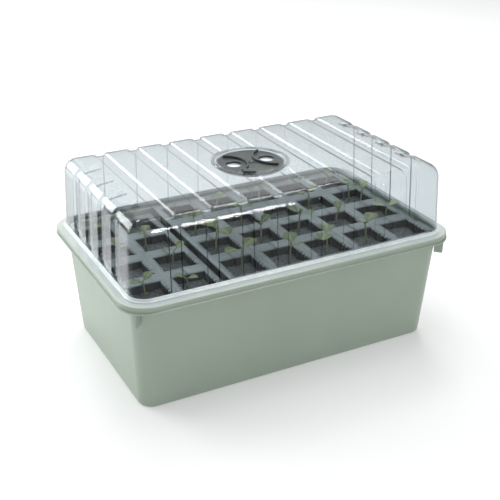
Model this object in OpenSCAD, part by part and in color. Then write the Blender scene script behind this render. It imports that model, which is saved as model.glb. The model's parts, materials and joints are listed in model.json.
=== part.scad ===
// Humidity dome tray: a deep tub, seven folded cell books full of compost and
// seedlings, and a clear ribbed dome with a turning vent in its roof.
// Units are millimetres. The origin is the middle of the tub's underside.

/* [Tub] */
// Length of the rim along X
rim_l = 380; // [300:1:460]
// Width of the rim along Y
rim_w = 242; // [190:1:300]
// Height of the rim above the ground
tub_h = 127; // [100:1:160]
// How much shorter the base is than the rim, at each end
base_in_l = 18; // [10:0.5:26]
// How much narrower the base is than the rim, on each side
base_in_w = 21.5; // [12:0.5:30]
// Thickness of the tub's walls and floor
tub_wall = 2.2; // [1.6:0.1:3.5]
// Width of the flat rim outside the dome's seat
rim_face = 10.2; // [8:0.1:14]
// Width of the seat that the dome stands on
seat_w = 3.2; // [2.4:0.1:5]
// Depth of the seat below the rim
seat_drop = 4; // [2.5:0.1:6]
// Height of the skirt that hangs from the rim
skirt_h = 8; // [6:0.1:12]
// Corner radius of the tub's wall at the top
corner_r = 18; // [12:1:26]
// Corner radius of the tub's base
base_r = 16; // [10:1:24]
// Height of the ribs that hold most of the books off the floor
floor_rib_h = 6.5; // [4:0.5:10]
// Height of the gussets under the front corners of the rim
gusset_h = 19; // [12:0.5:24]

/* [Dome] */
// Height of the roof above the rim
dome_rise = 77; // [55:1:110]
// Thickness of the clear sheet
dome_wall = 1.2; // [0.8:0.1:2]
// How much the dome's walls lean in, on each side
dome_lean = 3.6; // [2:0.1:6]
// Radius of the roof's shoulders
shoulder_r = 16.5; // [10:0.5:22]
// Gap between the dome's foot and the rim, on each side
foot_gap = 0.3; // [0.2:0.1:1]
// Distance from the foot's end to the middle of the first groove across the roof
end_band = 45.1; // [36:0.1:56]
// Distance from the foot's side to the middle of the first groove down an end wall
side_band = 52.9; // [42:0.1:62]
// Width of a groove
groove_w = 13.4; // [8:0.1:16]
// Depth of a groove
groove_d = 2.3; // [1.6:0.1:3]
// Number of grooves across the roof
roof_grooves = 8; // [4:2:10]
// Number of grooves down each end wall
end_grooves = 4; // [2:1:5]

/* [Vent] */
// Radius of the turning disc
vent_r = 35; // [28:0.5:38]
// Radius of each air hole
vent_hole_r = 8.6; // [6:0.1:10]
// Distance of each air hole from the middle
vent_hole_at = 19.5; // [17:0.5:22]
// Thickness of the turning disc
vent_t = 2.6; // [2:0.1:4]
// Radius of the pin that the disc turns on
pin_r = 2.5; // [1.8:0.1:3.5]
// Running clearance round the pin
pin_fit = 0.05; // [0.03:0.01:0.1]
// Angle that the disc has been turned from fully open
vent_turned = 0; // [0:5:90]

/* [Books] */
// Number of books side by side
books = 7; // [7:1:7]
// Room between the row of books and the tub, at each end
end_gap = 2.3; // [1.5:0.1:4]
// Room between the ends of the books and the tub, on each side
side_gap = 5.6; // [4:0.1:8]
// Depth of the tallest book's top below the rim
book_drop = 3.1; // [2:0.1:6]
// Cells along one book
cells = 4; // [4:1:4]
// Width of the flange beside a cell, along X
flange_edge = 3.5; // [2.5:0.1:5]
// Width of the band between neighbouring cells, along Y
band_w = 15; // [10:0.5:20]
// Share of its opening that a cell keeps at the bottom
cell_taper = 0.72; // [0.55:0.01:0.9]
// Thickness of the moulded sheet
book_wall = 1.2; // [0.8:0.1:1.8]
// Width of the seam where the two halves of a book close
seam_w = 0.6; // [0.4:0.1:1.2]
// How far the books stand back from the middle of the tub
book_shift = 2; // [0:0.1:3]
// Depth of the compost below the top of a cell
compost_drop = 9; // [5:0.5:14]

/* [Hidden] */
$fn = 96;
cut = 1;                              // how far a cutter runs past what it cuts

// Tub levels and plan sizes
opening_l = rim_l - 2 * rim_face;     // the recess that the dome's foot stands in
opening_w = rim_w - 2 * rim_face;
inner_l = opening_l - 2 * seat_w;     // inside of the tub at the seat
inner_w = opening_w - 2 * seat_w;
seat_z = tub_h - seat_drop;
rim_t = 2.2;                          // thickness of the rim's sheet
rim_round = 1.6;                      // bevel along the rim's outer edge
base_l = rim_l - 2 * base_in_l;
base_w = rim_w - 2 * base_in_w;
rim_r = corner_r + seat_w + rim_face - tub_wall;
bead_out = 0.8;                       // how far the skirt's bead stands out
bead_h = 2.2;                         // height of the bead
base_round = 3;                       // radius of the base's edge
base_bevel = 0.3 * base_round;        // where that radius is flattened to two bevels
gusset_t = 5;                         // thickness of a gusset at its top
gusset_tip = 2;                       // thickness of a gusset at its bottom
gusset_reach = 0.62;                  // share of the rim's overhang that a gusset fills
gusset_root = 1.2;                    // how far a gusset starts inside the wall
rib_t = 3;                            // thickness of a floor rib
rib_root = 0.5;                       // how far a rib starts inside the floor
rib_start = 4;                        // distance of the ribs' end from the first book they hold

// Dome levels and plan sizes
foot_l = opening_l - 2 * foot_gap;
foot_w = opening_w - 2 * foot_gap;
roof_z = tub_h + dome_rise;
foot_r = corner_r + seat_w - tub_wall - foot_gap;
step_slope = 1.6;                     // how far the side of a band leans out to its foot
groove_pitch = (foot_l - 2 * end_band) / (roof_grooves - 1);
end_pitch = (foot_w - 2 * side_band) / (end_grooves - 1);
hook_l = 8;                           // how far an end groove runs on over the roof

// Vent levels
disc_room = 0.6;                      // gap round the disc
well_r = vent_r + disc_room;          // inside of the well that the disc lies in
well_room = 0.25;                     // gap between the well's wall and the roof's hole
flange_r = vent_r + 7;                // outside of the vent base's flange
flange_t = 1.2;
flange_lip = 0.4;                     // thickness of the flange at its rim
flange_bevel = 0.8;
roof_hole_r = well_r + dome_wall + well_room;
plate_t = 1.6;                        // floor of the well
disc_gap = 0.1;                       // gap under the disc
fin_h = 2;                            // height of the grip fins
disc_sunk = 0.9;                      // how far the disc's face lies below the roof
plate_z = roof_z - vent_t - plate_t - disc_gap - disc_sunk;
disc_z = plate_z + plate_t + disc_gap;
disc_top = disc_z + vent_t;
fin_arc_r = 26;                       // radius of each fin's arc
fin_arc_at = 32;                      // distance of the arc's centre from the pin
fin_t = 1.8;
pin_head_r = pin_r + 1.9;
pin_head_h = 1.2;
pin_foot_r = pin_r + 1.2;
pin_foot_h = 2;
pin_sink = 0.1;                       // how far the pin's shank runs into its head and foot
tab_at = 241;                         // direction of the finger tab
tab_w = 12;
tab_t = 3.5;
tab_in = 1;                           // distance of the tab from the disc's edge

// Book places: the gap on each side of a book, from left to right
book_gaps = [0.4, 4, 1.2, 1.2, 1.2, 0.4];
books_low = 2;                        // books that stand on the bare floor, at the left
stack_l = inner_l - 2 * end_gap;
book_w = (stack_l - sum_to(book_gaps, books - 1)) / books;
book_len = inner_w - 2 * side_gap;
cell_pitch = book_len / cells;
cell_l = book_w - 2 * flange_edge;    // opening of a cell
cell_w = cell_pitch - band_w;
book_corner_r = corner_r - tub_wall - 1.2;
flange_h = 1.6;                       // thickness of a book's top flange
hinge_w = 6;                          // width of the web that joins the halves
hinge_h = 5;
drain_r = 4;
stand_gap = 0.2;                      // gap between a book and what it stands on
book_h = tub_h - book_drop - tub_wall - stand_gap - floor_rib_h;
plug_gap = 0.15;                      // gap between the compost and the cell, each side
leaf_t = 0.8;
stem_r = 0.9;

// Seedlings: [book, row, x in cell, y in cell, height, leaf radius, direction of the leaves]
SEEDLINGS = [
    [1, 1, -2, 8, 20, 6, 20], [1, 3, 4, -6, 21, 6, 80], [1, 4, -4, 2, 18, 5, 10],
    [2, 1, -4, 9, 13, 5, 140], [2, 2, 3, 12, 19, 6, 15], [2, 3, -9, 8, 22, 6, 60],
    [3, 1, 2, 4, 27, 9, 25], [3, 2, -2, 5, 30, 9, 100], [3, 3, -4, 4, 24, 6, 0],
    [4, 1, 5, -3, 25, 8, 75], [4, 2, 4, 8, 21, 6, 30], [4, 3, 6, 8, 24, 6, 150], [4, 4, -5, 0, 20, 6, 40],
    [5, 1, 4, 3, 24, 9, 50], [5, 2, 2, 8, 26, 6, 120], [5, 4, 3, 4, 19, 6, 5],
    [6, 1, 2, 1, 27, 9, 30], [6, 2, 4, 12, 18, 6, 70], [6, 3, -4, 10, 23, 6, 20],
    [7, 2, 4, -8, 21, 7, 160], [7, 3, 5, -9, 24, 6, 45], [7, 3, 4, 12, 21, 6, 100], [7, 4, 0, 6, 20, 6, 60]];

function sum_to(list, n) = n <= 0 ? 0 : list[n - 1] + sum_to(list, n - 1);
function book_x(i) = -stack_l / 2 + (i - 0.5) * book_w + sum_to(book_gaps, i - 1);
function book_z(i) = tub_wall + stand_gap + (i > books_low ? floor_rib_h : 0);
function row_y(j) = book_shift + (j - (cells + 1) / 2) * cell_pitch;

// One ring of points round a rounded rectangle, seen from above and counted anticlockwise
CORNER_STEPS = 5;
function ring(l, w, r, z) = [for (q = [0:3]) for (i = [0:CORNER_STEPS])
    let (a = 90 * (q + i / CORNER_STEPS),
         cx = (q == 0 || q == 3 ? 1 : -1) * (l / 2 - r),
         cy = (q < 2 ? 1 : -1) * (w / 2 - r))
    [cx + r * cos(a), cy + r * sin(a), z]];

// A closed skin through a list of rings, with a flat cap on the first and the last
module loft(rings) {
    n = len(rings[0]);
    m = len(rings);
    side = [for (k = [0:m - 2]) for (i = [0:n - 1]) for (half = [0, 1])
        let (a = k * n + i, b = k * n + (i + 1) % n, c = a + n, d = b + n)
        half == 0 ? [a, c, d] : [a, d, b]];
    first = [[for (i = [0:n - 1]) i]];
    last = [[for (i = [n - 1:-1:0]) (m - 1) * n + i]];
    polyhedron(points = [for (r = rings) each r], faces = concat(first, side, last));
}

// A straight-sided block that tapers from its top to its bottom
module taper_block(l, w, share, z0, z1) {
    points = [for (lev = [[z0, share], [z1, 1]]) for (c = [[1, 1], [-1, 1], [-1, -1], [1, -1]])
        [c.x * l / 2 * lev[1], c.y * w / 2 * lev[1], lev[0]]];
    faces = [[0, 1, 2, 3], [7, 6, 5, 4], [0, 4, 5, 1], [1, 5, 6, 2], [2, 6, 7, 3], [3, 7, 4, 0]];
    polyhedron(points = points, faces = faces);
}

// ---------------------------------------------------------------- tub

module tub() {
    skirt_in = rim_t - 0.2;
    wall_l = inner_l + 2 * tub_wall;
    wall_w = inner_w + 2 * tub_wall;
    under = seat_z - rim_t;
    flange = tub_h - rim_t;
    skirt_z = tub_h - skirt_h;
    color("#9aa89a") {
        loft([
            ring(base_l - 2 * base_round, base_w - 2 * base_round, base_r - base_round, 0),
            ring(base_l - 2 * base_bevel, base_w - 2 * base_bevel, base_r - base_bevel, base_bevel),
            ring(base_l, base_w, base_r, base_round),
            ring(wall_l, wall_w, corner_r, under),
            ring(opening_l + 2 * rim_t, opening_w + 2 * rim_t, corner_r + seat_w, under),
            ring(opening_l + 2 * rim_t, opening_w + 2 * rim_t, corner_r + seat_w, flange),
            ring(rim_l - 2 * skirt_in, rim_w - 2 * skirt_in, rim_r - skirt_in, flange),
            ring(rim_l - 2 * skirt_in, rim_w - 2 * skirt_in, rim_r - skirt_in, skirt_z),
            ring(rim_l + 2 * bead_out, rim_w + 2 * bead_out, rim_r + bead_out, skirt_z),
            ring(rim_l + 2 * bead_out, rim_w + 2 * bead_out, rim_r + bead_out, skirt_z + bead_h),
            ring(rim_l, rim_w, rim_r, skirt_z + bead_h + bead_out),
            ring(rim_l, rim_w, rim_r, tub_h - rim_round),
            ring(rim_l - 2 * rim_round, rim_w - 2 * rim_round, rim_r - rim_round, tub_h),
            ring(opening_l, opening_w, foot_r + foot_gap, tub_h),
            ring(opening_l, opening_w, foot_r + foot_gap, seat_z),
            ring(inner_l, inner_w, corner_r - tub_wall, seat_z),
            ring(base_l - 2 * tub_wall, base_w - 2 * tub_wall, base_r - tub_wall, tub_wall)]);
        floor_ribs();
        for (side = [-1, 1]) corner_gusset(side);
    }
}

module floor_ribs() {
    x0 = book_x(books_low + 1) - book_w / 2 + rib_start;
    x1 = book_x(books) + book_w * cell_taper / 2;
    for (j = [1:cells])
        translate([x0, row_y(j) - rib_t / 2, tub_wall - rib_root])
            cube([x1 - x0, rib_t, floor_rib_h + rib_root]);
}

// A web on the diagonal, from the wall out to the skirt, thinner at its foot
module corner_gusset(side) {
    inset = corner_r * (1 - sqrt(0.5));
    reach = (rim_face + seat_w) * sqrt(2) * gusset_reach;
    translate([side * (inner_l / 2 + tub_wall - inset), -(inner_w / 2 + tub_wall - inset), seat_z - rim_t])
        rotate([0, 0, side > 0 ? -45 : -135])
            translate([-gusset_root, 0, 0.1]) rotate([90, 0, 90]) linear_extrude(reach)
                polygon([[-gusset_t / 2, 0], [-gusset_tip / 2, -gusset_h], [gusset_tip / 2, -gusset_h], [gusset_t / 2, 0]]);
}

// ---------------------------------------------------------------- dome

// The dome's smooth form, drawn in by an inset on every side
module dome_form(inset, z0) {
    lean_at = function(z) dome_lean * (z - seat_z) / (roof_z - seat_z);
    top_r = max(shoulder_r - inset, 2);
    steps = 5;
    shoulder_z = roof_z - shoulder_r;
    foot_in = 2 * (inset + lean_at(z0));
    loft(concat(
        [ring(foot_l - foot_in, foot_w - foot_in, foot_r - inset, z0)],
        [for (s = [0:steps]) let (a = 90 * s / steps,
            z = shoulder_z + top_r * sin(a),
            d = 2 * (inset + lean_at(shoulder_z) + top_r * (1 - cos(a))))
            ring(foot_l - d, foot_w - d, max(foot_r - d / 2 + lean_at(shoulder_z), 1.6), z)]));
}

// The dome's outside or inside: a sunk form with raised bands standing on it.
// grow is 0 outside and the sheet's thickness inside, where every band is that much narrower.
module dome_solid(grow, z0) {
    dome_form(groove_d + grow, z0);
    intersection() {
        dome_form(grow, z0);
        difference() {
            for (k = [0:roof_grooves]) raised_band(k, grow, z0);
            for (side = [-1, 1], k = [1:end_grooves]) end_groove(side, k, grow, z0);
        }
    }
}

// One raised band over the roof, with sloping steps down to the grooves beside it
module raised_band(k, grow, z0) {
    at = (k - roof_grooves / 2) * groove_pitch;
    half = (groove_pitch - groove_w) / 2 - grow;
    left = k == 0 ? -foot_l / 2 : at - half;
    right = k == roof_grooves ? foot_l / 2 : at + half;
    hull() for (level = [0, 1]) {
        d = grow + (1 - level) * groove_d;
        lean = (1 - level) * step_slope;
        translate([left - lean, -foot_w / 2 + d, z0 - cut])
            cube([right - left + 2 * lean, foot_w - 2 * d, roof_z - d - z0 + cut]);
    }
}

// One groove down an end wall, which fades out where it reaches the roof
module end_groove(side, k, grow, z0) {
    at = (k - (end_grooves + 1) / 2) * end_pitch;
    half = groove_w / 2 + grow;
    reach = foot_l / 2 - shoulder_r - hook_l - grow;
    hull() for (level = [0, 1]) {
        w = half + level * step_slope;
        x = level == 0 ? reach : foot_l / 2 - grow;
        translate([side > 0 ? x : -x - shoulder_r, at - w, z0 - 2 * cut])
            cube([shoulder_r, 2 * w, roof_z - z0 + 3 * cut]);
    }
}

module dome() {
    color("#dfe8ea", 0.35) difference() {
        dome_solid(0, seat_z);
        dome_solid(dome_wall, seat_z - cut);
        translate([0, 0, roof_z - shoulder_r]) cylinder(r = roof_hole_r, h = shoulder_r + cut, $fn = 48);
    }
}

// ---------------------------------------------------------------- vent

// A clear well in the roof: a flange that lies on the bands, a short wall and a floor with two holes
module vent_base() {
    color("#dfe8ea", 0.5) difference() {
        rotate_extrude() polygon([
            [0, plate_z], [well_r + dome_wall, plate_z], [well_r + dome_wall, roof_z], [flange_r, roof_z],
            [flange_r, roof_z + flange_lip], [flange_r - flange_bevel, roof_z + flange_t],
            [well_r, roof_z + flange_t], [well_r, plate_z + plate_t], [0, plate_z + plate_t]]);
        translate([0, 0, plate_z - cut]) cylinder(r = pin_r, h = plate_t + 2 * cut);
        air_holes(plate_z - cut, plate_t + 2 * cut);
    }
}

module air_holes(z, h) {
    for (side = [-1, 1]) translate([side * vent_hole_at, 0, z]) cylinder(r = vent_hole_r, h = h);
}

module vent_disc() {
    color("#5f6967") rotate([0, 0, vent_turned]) difference() {
        union() {
            translate([0, 0, disc_z]) cylinder(r = vent_r, h = vent_t);
            translate([0, 0, disc_top - 0.01]) linear_extrude(fin_h) grip_fins();
            finger_tab();
        }
        translate([0, 0, disc_z - cut]) cylinder(r = pin_r + pin_fit, h = vent_t + fin_h + 2 * cut);
        air_holes(disc_z - cut, vent_t + 2 * cut);
    }
}

// Two arcs back to back, each curving round one air hole
module grip_fins() {
    intersection() {
        circle(r = vent_r - 2);
        for (side = [-1, 1]) translate([side * fin_arc_at, 0]) difference() {
            circle(r = fin_arc_r + fin_t / 2);
            circle(r = fin_arc_r - fin_t / 2);
        }
    }
}

module finger_tab() {
    rotate([0, 0, tab_at]) translate([vent_r - tab_in - tab_t, -tab_w / 2, disc_top - 0.01])
        cube([tab_t, tab_w, fin_h]);
}

// The pin stands in the base, passes through the disc and holds it down with its head
module vent_pin() {
    color("#5f6967") {
        translate([0, 0, plate_z - pin_sink])
            cylinder(r = pin_r, h = disc_top + disc_gap - plate_z + 2 * pin_sink);
        translate([0, 0, disc_top + disc_gap]) cylinder(r = pin_head_r, h = pin_head_h);
        translate([0, 0, plate_z - pin_foot_h]) cylinder(r = pin_foot_r, h = pin_foot_h);
    }
}

// ---------------------------------------------------------------- books

// The outline that the row of books stays inside, rounded like the tub's corners
module stack_outline() {
    polygon([for (p = ring(stack_l, inner_w - end_gap, book_corner_r, 0)) [p.x, p.y]]);
}

module book(i) {
    body_h = book_h - flange_h;
    color("#3c4447") translate([book_x(i), 0, book_z(i)]) difference() {
        union() {
            translate([0, 0, body_h]) intersection() {
                translate([-book_w / 2, book_shift - book_len / 2, 0]) cube([book_w, book_len, flange_h]);
                translate([-book_x(i), 0, 0]) linear_extrude(flange_h) stack_outline();
            }
            for (j = [1:cells]) translate([0, row_y(j), 0])
                taper_block(cell_l + 2 * book_wall, cell_w + 2 * book_wall, cell_taper, 0, body_h + 0.2);
            translate([-hinge_w / 2, row_y(1), 0]) cube([hinge_w, row_y(cells) - row_y(1), hinge_h]);
        }
        for (j = [1:cells]) translate([0, row_y(j), 0]) {
            taper_block(cell_l, cell_w, cell_taper, book_wall, book_h + 0.05);
            translate([0, 0, -cut]) cylinder(r = drain_r, h = book_wall + 2 * cut, $fn = 32);
        }
        translate([-seam_w / 2, book_shift - book_len / 2 - cut, hinge_h]) cube([seam_w, book_len + 2 * cut, book_h]);
    }
}

module compost(i) {
    depth = book_h - compost_drop;
    low = book_wall + plug_gap;
    share_at = function(z) cell_taper + (1 - cell_taper) * (z - book_wall) / (book_h + 0.05 - book_wall);
    top_l = cell_l * share_at(depth) - 2 * plug_gap;
    top_w = cell_w * share_at(depth) - 2 * plug_gap;
    share = (cell_l * share_at(low) - 2 * plug_gap) / top_l;
    color("#2c2f2e") for (j = [1:cells]) translate([book_x(i), row_y(j), book_z(i)])
        taper_block(top_l, top_w, share, low, depth);
}

module seedlings(i) {
    color("#7f9a55") for (s = SEEDLINGS) if (s[0] == i)
        translate([book_x(i) + s[2], row_y(s[1]) + s[3], book_z(i) + book_h - compost_drop])
            seedling(s[4], s[5], s[6]);
}

// A stem with two seed leaves that lean up and away from each other
module seedling(height, leaf_r, turn) {
    lean = 25;
    cylinder(r = stem_r, h = height - 2, $fn = 16);
    for (side = [0, 180]) translate([0, 0, height - 2 - stem_r]) rotate([0, 0, turn + side])
        rotate([0, -lean, 0]) translate([leaf_r * 0.9, 0, 0]) cylinder(r = leaf_r, h = leaf_t, $fn = 24);
}

tub();
dome();
vent_base();
vent_disc();
vent_pin();
book(1);  // book_1
book(2);  // book_2
book(3);  // book_3
book(4);  // book_4
book(5);  // book_5
book(6);  // book_6
book(7);  // book_7
compost(1);  // compost_1
compost(2);  // compost_2
compost(3);  // compost_3
compost(4);  // compost_4
compost(5);  // compost_5
compost(6);  // compost_6
compost(7);  // compost_7
seedlings(1);  // seedlings_1
seedlings(2);  // seedlings_2
seedlings(3);  // seedlings_3
seedlings(4);  // seedlings_4
seedlings(5);  // seedlings_5
seedlings(6);  // seedlings_6
seedlings(7);  // seedlings_7
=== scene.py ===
# %% [markdown]
# A humidity dome tray: a deep sage-green tub, seven dark books of cells filled with
# compost and seedlings, and a clear ribbed dome with a grey turning vent.
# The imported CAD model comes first, because every piece below is placed by its boxes
# and rides on one of its bodies. Lengths are metres, written as millimetres times MM.

# %% Load the frame
import json
import math

import bpy
import bmesh
import numpy as np
from mathutils import Matrix, Vector, noise

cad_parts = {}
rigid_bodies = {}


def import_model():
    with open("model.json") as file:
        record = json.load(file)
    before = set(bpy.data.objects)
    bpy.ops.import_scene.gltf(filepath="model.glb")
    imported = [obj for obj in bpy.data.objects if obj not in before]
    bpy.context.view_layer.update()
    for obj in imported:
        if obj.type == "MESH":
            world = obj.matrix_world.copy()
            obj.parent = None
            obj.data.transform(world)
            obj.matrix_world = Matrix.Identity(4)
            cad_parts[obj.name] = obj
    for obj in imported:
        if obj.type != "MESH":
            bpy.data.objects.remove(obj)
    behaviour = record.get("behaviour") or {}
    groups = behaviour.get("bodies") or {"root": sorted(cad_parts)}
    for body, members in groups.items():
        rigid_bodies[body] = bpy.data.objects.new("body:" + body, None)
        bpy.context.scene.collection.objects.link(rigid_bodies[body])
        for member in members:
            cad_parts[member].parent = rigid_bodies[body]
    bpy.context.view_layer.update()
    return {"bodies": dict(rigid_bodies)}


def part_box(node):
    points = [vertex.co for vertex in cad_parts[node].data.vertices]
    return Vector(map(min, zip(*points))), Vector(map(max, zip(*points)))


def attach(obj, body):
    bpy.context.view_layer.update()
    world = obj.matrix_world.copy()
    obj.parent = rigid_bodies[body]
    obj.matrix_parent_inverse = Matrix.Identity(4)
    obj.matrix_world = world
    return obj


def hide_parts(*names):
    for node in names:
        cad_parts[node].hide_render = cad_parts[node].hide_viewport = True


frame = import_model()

MM = 0.001
TUB_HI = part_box("tub")[1]
DOME_LO, DOME_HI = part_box("dome")
RIM_Z = TUB_HI.z
ROOF_Z = DOME_HI.z
FOOT_Z = DOME_LO.z
print("bodies:", sorted(frame["bodies"]))
print("tub height", round(RIM_Z, 4), "roof height", round(ROOF_Z, 4))

# %% [markdown]
# The camera stands to the left of the front and a little above the tray, so it sees
# the front wall, the left end wall and down through the dome's roof. A long lens
# keeps the edges nearly parallel. The camera is made from its right, up and back
# directions, which is the same as aiming it but says plainly what each axis is.

# %% Camera
CAMERA_PLACE = Vector((-0.4434, -0.8511, 0.5597))
CAMERA_AZIMUTH = math.radians(-27.5)
CAMERA_ELEVATION = math.radians(25.7)
CAMERA_LENS = 68.8

camera_data = bpy.data.cameras.new("camera")
camera_data.lens = CAMERA_LENS
camera_data.sensor_width = 36
camera = bpy.data.objects.new("camera", camera_data)
bpy.context.scene.collection.objects.link(camera)
bpy.context.scene.camera = camera
back = Vector((
    math.sin(CAMERA_AZIMUTH) * math.cos(CAMERA_ELEVATION),
    -math.cos(CAMERA_AZIMUTH) * math.cos(CAMERA_ELEVATION),
    math.sin(CAMERA_ELEVATION)))
right = Vector((math.cos(CAMERA_AZIMUTH), math.sin(CAMERA_AZIMUTH), 0))
up = back.cross(right)
turn = Matrix((right, up, back)).transposed()
camera.matrix_world = Matrix.Translation(CAMERA_PLACE) @ turn.to_4x4()
print("camera at", tuple(round(c, 3) for c in camera.location))

# %% [markdown]
# Materials are written as sums. Socket wraps one output of a node, and each operator
# on it adds a Math node, so `0.4 + 0.1 * grain` reads like arithmetic. Finish holds
# one material: its node() method makes any node from its type, its settings and the
# values or links of its sockets, and the other methods are shorthands for it.

# %% Shader helpers
class Socket:
    """One output of a shader node, which arithmetic turns into Math nodes."""

    def __init__(self, finish, socket):
        self.finish = finish
        self.socket = socket

    def __add__(self, other):
        return self.finish.math_of("ADD", self, other)

    def __radd__(self, other):
        return self.finish.math_of("ADD", other, self)

    def __sub__(self, other):
        return self.finish.math_of("SUBTRACT", self, other)

    def __mul__(self, other):
        return self.finish.math_of("MULTIPLY", self, other)

    def __rmul__(self, other):
        return self.finish.math_of("MULTIPLY", other, self)


class Outputs:
    """The outputs of a node, by name or number."""

    def __init__(self, finish, node):
        self.finish = finish
        self.node = node

    def __getitem__(self, key):
        return Socket(self.finish, self.node.outputs[key])


class Finish:
    """One material and the means to add nodes to it."""

    def __init__(self, name):
        self.material = bpy.data.materials.new(name)
        self.material.use_nodes = True
        self.tree = self.material.node_tree
        self.tree.nodes.clear()
        self.end = self.tree.nodes.new("ShaderNodeOutputMaterial")
        self.place = self.node("ShaderNodeTexCoord")["Object"]

    def node(self, kind, settings=None, sockets=None):
        made = self.tree.nodes.new(kind)
        for key, value in (settings or {}).items():
            setattr(made, key, value)
        for key, value in (sockets or {}).items():
            if isinstance(value, Socket):
                self.tree.links.new(value.socket, made.inputs[key])
            else:
                made.inputs[key].default_value = value
        return Outputs(self, made)

    def math_of(self, operation, first, second):
        return self.node("ShaderNodeMath", {"operation": operation}, {0: first, 1: second})[0]

    def noise(self, scale, detail=3.0, roughness=0.5):
        return self.node("ShaderNodeTexNoise", None, {
            "Vector": self.place, "Scale": scale, "Detail": detail, "Roughness": roughness})["Fac"]

    def ramp(self, factor, low, high):
        """0 below low and 1 above high, with a smooth step between."""
        return self.node("ShaderNodeMapRange", {"interpolation_type": "SMOOTHSTEP"}, {
            "Value": factor, "From Min": low, "From Max": high})["Result"]

    def blend(self, factor, first, second):
        return self.node("ShaderNodeMix", {"data_type": "RGBA"}, {0: factor, 6: first, 7: second})[2]

    def bump(self, height, strength, distance):
        return self.node("ShaderNodeBump", None, {
            "Height": height, "Strength": strength, "Distance": distance})["Normal"]

    def carried(self, name):
        """A number that the mesh itself carries at its points."""
        return self.node("ShaderNodeAttribute", {"attribute_name": name})["Fac"]

    def plastic(self, **sockets):
        return self.node("ShaderNodeBsdfPrincipled", None, {
            key.replace("_", " "): value for key, value in sockets.items()})["BSDF"]

    def mix_shader(self, factor, first, second):
        return self.node("ShaderNodeMixShader", None, {0: factor, 1: first, 2: second})["Shader"]

    def done(self, shader):
        self.tree.links.new(shader.socket, self.end.inputs["Surface"])
        return self.material


# %% [markdown]
# The tub is injection-moulded polypropylene in sage green. It is nearly matt, with a
# very fine spark-eroded grain, a faint cloudiness where the melt flowed, and slightly
# polished patches that catch the light less evenly. One noise does the colour, one the
# grain and one the gloss. The flat top of the rim is painted paler than the rest, a
# painted highlight for the light that falls on it from above, and it has a glossy coat.

# %% Sage plastic
SAGE = (0.335, 0.40, 0.325, 1)
SAGE_PALE = (0.352, 0.418, 0.342, 1)
# The paler colour of the rim's top is a painted highlight for the light from above.
SAGE_PAINTED_RIM_HIGHLIGHT = (0.50, 0.56, 0.53, 1)

sage = Finish("sage_plastic")
flow = sage.noise(14, detail=4)
grain = sage.noise(2600, detail=2)
handled = sage.noise(60, detail=5, roughness=0.65)
height = sage.node("ShaderNodeSeparateXYZ", None, {0: sage.place})[2]
# The flat top of the rim: painted paler (painted highlight) and given a glossy coat.
rim_top_painted_light_and_coat = sage.ramp(height, RIM_Z - 0.9 * MM, RIM_Z - 0.15 * MM)
sage_cloud = sage.blend(sage.ramp(flow, 0.35, 0.7), SAGE, SAGE_PALE)
SAGE_PLASTIC = sage.done(sage.plastic(
    Base_Color=sage.blend(rim_top_painted_light_and_coat, sage_cloud, SAGE_PAINTED_RIM_HIGHLIGHT),
    Roughness=0.3 + 0.1 * handled + 0.04 * grain,
    Normal=sage.bump(grain, 0.16, 0.00008),
    Coat_Weight=0.9 * rim_top_painted_light_and_coat, Coat_Roughness=0.16,
    IOR=1.49, Specular_IOR_Level=0.5))
print("made", SAGE_PLASTIC.name)

# %% [markdown]
# The dome is one thin vacuum-formed sheet of clear plastic. Thin clear sheet doesn't
# bend what is behind it, so it is made from a see-through shader with a mirror-like
# one over it. The angle of view decides how much of each shows, which gives bright
# grooves and shoulders. A little pale haze stands for the fine scuffs that cloud used
# domes, and a sheet seen edge-on is darker, because light goes a longer way through
# it. The steps at the sides of the walls' grooves are darkened too, with a painted shade
# that the dome's mesh carries as its own attribute, weaker on the back half; pieces
# without that attribute read it as nothing.

# %% Clear plastic
EDGE_TINT = (0.30, 0.33, 0.34, 1)
MIRROR_LEAST, MIRROR_RISE, MIRROR_POWER = 0.005, 0.975, 4.6
# How strongly the painted shade darkens the steps at the sides of the walls' grooves.
STEP_PAINTED_SHADE = 0.6


def clear_plastic(name, haze, tint, gloss):
    clear = Finish(name)
    scuffs = clear.noise(90, detail=6, roughness=0.7)
    waves = clear.noise(38, detail=2)
    ripple = clear.bump(waves, 0.05, 0.0006)
    face_on = clear.node("ShaderNodeBsdfTransparent", None, {"Color": tint})["BSDF"]
    edge_on = clear.node("ShaderNodeBsdfTransparent", None, {"Color": EDGE_TINT})["BSDF"]
    cloud = clear.plastic(Base_Color=(0.82, 0.87, 0.88, 1), Roughness=0.35, Specular_IOR_Level=0.3)
    shine = clear.node("ShaderNodeBsdfGlossy", None, {
        "Color": (1, 1, 1, 1), "Roughness": gloss, "Normal": ripple})["BSDF"]
    glancing = clear.node("ShaderNodeLayerWeight", None, {"Blend": 0.5, "Normal": ripple})["Facing"]
    mirror = MIRROR_LEAST + MIRROR_RISE * clear.math_of("POWER", glancing, MIRROR_POWER)
    # The edge-on tint, with the painted shade of the walls' groove steps added to it.
    edge_tint_and_step_shade = clear.ramp(glancing + STEP_PAINTED_SHADE * clear.carried("painted_step_shade"), 0.6, 0.9)
    through = clear.mix_shader(edge_tint_and_step_shade, face_on, edge_on)
    body = clear.mix_shader(haze * (0.7 + 0.6 * scuffs), through, cloud)
    return clear.done(clear.mix_shader(mirror, body, shine))


CLEAR_PLASTIC = clear_plastic("clear_plastic", 0.01, (0.855, 0.875, 0.882, 1), 0.03)
WELL_PLASTIC = clear_plastic("well_plastic", 0.04, (0.82, 0.84, 0.85, 1), 0.06)
# The foot lip's heavy haze is a painted highlight: a pale cloud for the brightness of a sheet seen
# edge-on.
FOOT_PAINTED_HIGHLIGHT_PLASTIC = clear_plastic("foot_painted_highlight_plastic", 0.8, (0.85, 0.88, 0.89, 1), 0.12)
print("made", CLEAR_PLASTIC.name, WELL_PLASTIC.name, FOOT_PAINTED_HIGHLIGHT_PLASTIC.name)
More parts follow.
